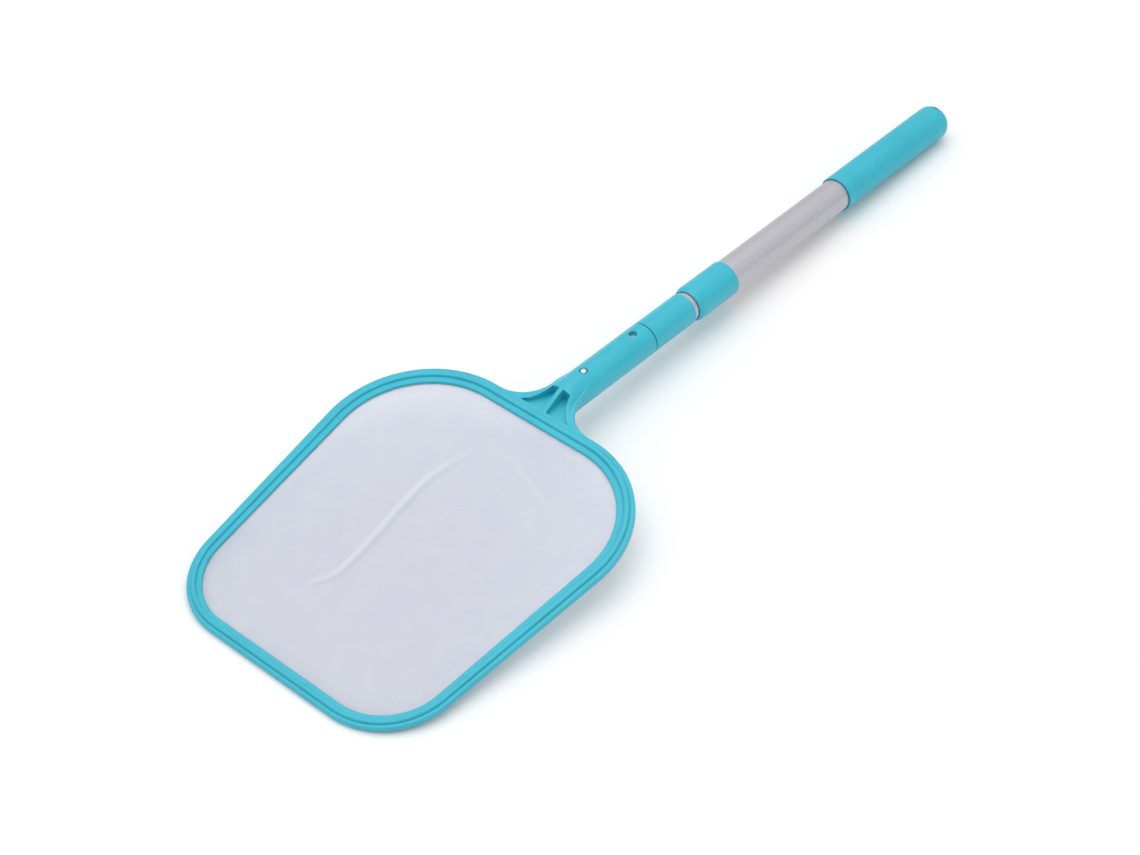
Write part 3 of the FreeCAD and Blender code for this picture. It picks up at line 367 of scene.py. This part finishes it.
def outline_of(points):
    """The convex outline of points seen along the head's normal, in order round it."""
    shape = bmesh.new()
    for x, y in points:
        shape.verts.new((x, y, 0))
    hull = bmesh.ops.convex_hull(shape, input=shape.verts)["geom"]
    rim = np.array([(v.co.x, v.co.y) for v in hull if isinstance(v, bmesh.types.BMVert)])
    shape.free()
    centre = rim.mean(0)
    return rim[np.argsort(np.arctan2(rim[:, 1] - centre[1], rim[:, 0] - centre[0]))]


def distance_to(line, points, closed=False):
    """The distance from each flat point to the nearest part of a polyline."""
    ends = np.vstack((line, line[:1])) if closed else line
    nearest = np.full(len(points), np.inf)
    for a, b in zip(ends[:-1], ends[1:]):
        run = b - a
        share = np.clip((points - a) @ run / (run @ run), 0, 1)
        nearest = np.minimum(nearest, np.linalg.norm(points - a - share[:, None] * run, axis=1))
    return nearest


def smooth_line(points, steps=12):
    """A Catmull-Rom curve through flat points."""
    held = np.array([points[0], *points, points[-1]], float)
    shares = np.linspace(0, 1, steps, endpoint=False)[:, None]
    spans = []
    for a, b, c, d in zip(held[:-3], held[1:-2], held[2:-1], held[3:]):
        spans.append(0.5 * (2 * b + (c - a) * shares + (2 * a - 5 * b + 4 * c - d) * shares ** 2
                            + (3 * b - a - 3 * c + d) * shares ** 3))
    return np.vstack((*spans, held[-1:]))


def net_grid(outline, height):
    """A grid of rows across the head that fills a convex outline, at one height."""
    trimmed = outline * (1 - EDGE_TRIM / np.abs(outline).max(0))
    low, high = trimmed[:, 1].min(), trimmed[:, 1].max()
    turns = np.linspace(0, math.pi, NET_ROWS)
    rows = (low + high) / 2 - (high - low) / 2 * np.cos(turns)
    halves = np.interp(rows, *half_widths(trimmed))
    shares = np.linspace(-1, 1, NET_COLUMNS)
    flat = np.array([(half * share, y, height) for y, half in zip(rows, halves) for share in shares])
    faces = [(i, i + 1, i + 1 + NET_COLUMNS, i + NET_COLUMNS)
             for row in range(NET_ROWS - 1)
             for i in range(row * NET_COLUMNS, (row + 1) * NET_COLUMNS - 1)]
    return flat, faces


def half_widths(outline):
    """Heights along y and half the outline's width there."""
    right = outline[outline[:, 0] > 0]
    right = right[np.argsort(right[:, 1])]
    return right[:, 1], right[:, 0]


def hang(net, held):
    """Let the sheet sag under its own weight while its held points stay."""
    group = net.vertex_groups.new(name="held")
    group.add(held, 1.0, "ADD")
    cloth = net.modifiers.new("cloth", "CLOTH")
    cloth.settings.vertex_group_mass = "held"
    for name, value in CLOTH.items():
        setattr(cloth.settings, name, value)
    cloth.collision_settings.use_collision = False
    cloth.point_cache.frame_end = NET_FRAMES
    for number in range(1, NET_FRAMES + 1):
        scene.frame_set(number)
    settled = net.evaluated_get(bpy.context.evaluated_depsgraph_get())
    points = np.array([v.co for v in settled.data.vertices], float)
    net.modifiers.remove(cloth)
    net.vertex_groups.remove(group)
    scene.frame_set(1)
    return points


def add_net():
    """The net: clamped under the ring, sagging inside it, with two soft creases, each with a painted
    highlight on its crest and painted shade on one side.

    The cloth simulation gives the form of the sag. Its depth is then set to that of the CAD net.
    """
    head = Head()
    solid = head.local(node_points("net_mesh"))
    outline = outline_of(solid[:, :2])
    edge_height = solid[:, 2].max() - (solid[:, 2].max() - solid[solid[:, 2] > -0.001, 2].min()) / 2
    points, faces = net_grid(outline, edge_height)
    ring_outline = outline_of(head.ring[:, :2])
    ring_inset = distance_to(ring_outline, head.ring[:, :2], closed=True).max()
    inside = distance_to(ring_outline, points[:, :2], closed=True) - ring_inset
    mesh = bpy.data.meshes.new("net_cloth")
    mesh.from_pydata(head.world(points).tolist(), [], faces)
    net = bpy.data.objects.new("net_cloth", mesh)
    scene.collection.objects.link(net)
    free = np.clip(inside / FREE_AFTER, 0, 1)
    held = [int(i) for i in np.flatnonzero(inside < 0)]
    hung = head.local(hang(net, held))
    points[:, :2] = hung[:, :2]
    sag = hung[:, 2] - edge_height
    points[:, 2] = edge_height + sag * (solid[:, 2].min() - edge_height) / sag.min()
    flat = points[:, :2]
    fold_light_and_shade = np.zeros(len(flat))
    for crease, depth in ((LONG_CREASE_MM, 1.0), (SHORT_CREASE_MM, SHORT_CREASE_SHARE)):
        line = smooth_line(np.array(crease) * MM)
        reach = np.linalg.norm(np.diff(line, axis=0), axis=1).sum()
        middle = line[len(line) // 2]
        fade = depth * np.clip(FADE_FROM - FADE_RATE * np.linalg.norm(flat - middle, axis=1) / reach, 0, 1)
        crest = np.exp(-(distance_to(line, flat) / CREASE_WIDTH) ** 2)
        # A band of painted shade, offset to one side of each crease line.
        shaded_flank = np.exp(-(distance_to(line + (SHADE_OFFSET, 0), flat) / CREASE_WIDTH) ** 2)
        points[:, 2] += free * fade * CREASE_HEIGHT * crest
        # Stored for the net material: a painted highlight on each crest and painted shade on the offset
        # flank.
        fold_light_and_shade += fade * (crest - SHADE_SHARE * shaded_flank)
    waves = np.array([noise.noise((x * 14, y * 22, 3.0)) + 0.5 * noise.noise((x * 40, y * 30, 7.0))
                      for x, y in flat])
    points[:, 2] += free * waves * UNDULATION
    placed = head.world(points)
    placed[:, 2] = np.maximum(placed[:, 2], FLOOR_GAP)
    mesh.vertices.foreach_set("co", placed.astype(np.float32).ravel())
    fold_values = mesh.attributes.new(FOLD_LIGHT_ATTRIBUTE, "FLOAT", "POINT").data
    fold_values.foreach_set("value", fold_light_and_shade.astype(np.float32))
    mesh.shade_smooth()
    mesh.update()
    mesh.materials.append(materials["net_fabric"])
    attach(net, "head_stage")
    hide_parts("net_mesh")


# ---------------------------------------------------------------- floor and light
FLOOR_SIZE = 30.0
ZENITH = 1.06
HORIZON = 0.46
ZENITH_FROM = 0.9


def add_floor():
    """A plain pale floor that the net lies on."""
    half = FLOOR_SIZE / 2
    mesh = bpy.data.meshes.new("floor")
    corners = [(-half, -half, 0), (half, -half, 0), (half, half, 0), (-half, half, 0)]
    mesh.from_pydata(corners, [], [(0, 1, 2, 3)])
    floor = bpy.data.objects.new("floor", mesh)
    scene.collection.objects.link(floor)
    shader = Shader("floor_paint")
    cloud = shader.noise(1.5, 2.0)
    tint = shader.mixed(cloud, (0.90, 0.90, 0.90), (0.93, 0.93, 0.93))
    grain = shader.noise(500, 2.0)
    floor.data.materials.append(shader.finish(tint, shader.ranged(cloud, 0, 1, 0.8, 0.9),
                                              shader.bump(grain, 0.0001, 0.1)))


def softbox(name, place, aim, side, power):
    """A square area light that looks from place to aim."""
    data = bpy.data.lights.new(name, "AREA")
    data.shape = "SQUARE"
    data.size = side
    data.energy = power
    light = bpy.data.objects.new(name, data)
    light.location = place
    light.rotation_euler = (Vector(aim) - Vector(place)).to_track_quat("-Z", "Y").to_euler()
    scene.collection.objects.link(light)


def add_light():
    """A bright room that dims towards the horizon, and one large softbox overhead."""
    world = bpy.data.worlds.new("studio")
    scene.world = world
    world.use_nodes = True
    tree = world.node_tree
    tree.nodes["Background"].inputs["Color"].default_value = (1, 1, 1, 1)
    direction = tree.nodes.new("ShaderNodeTexCoord")
    split = tree.nodes.new("ShaderNodeSeparateXYZ")
    tree.links.new(direction.outputs["Generated"], split.inputs[0])
    height = tree.nodes.new("ShaderNodeMapRange")
    height.inputs["From Min"].default_value = 0.0
    height.inputs["From Max"].default_value = ZENITH_FROM
    height.inputs["To Min"].default_value = HORIZON
    height.inputs["To Max"].default_value = ZENITH
    tree.links.new(split.outputs["Z"], height.inputs["Value"])
    tree.links.new(height.outputs["Result"], tree.nodes["Background"].inputs["Strength"])
    softbox("overhead", (-0.2, 0.1, 2.1), (0, -0.05, 0), 2.0, 15)
    scene.view_settings.view_transform = "Standard"


add_camera()
materials = dress_cad_nodes()
add_net()
add_floor()
add_light()
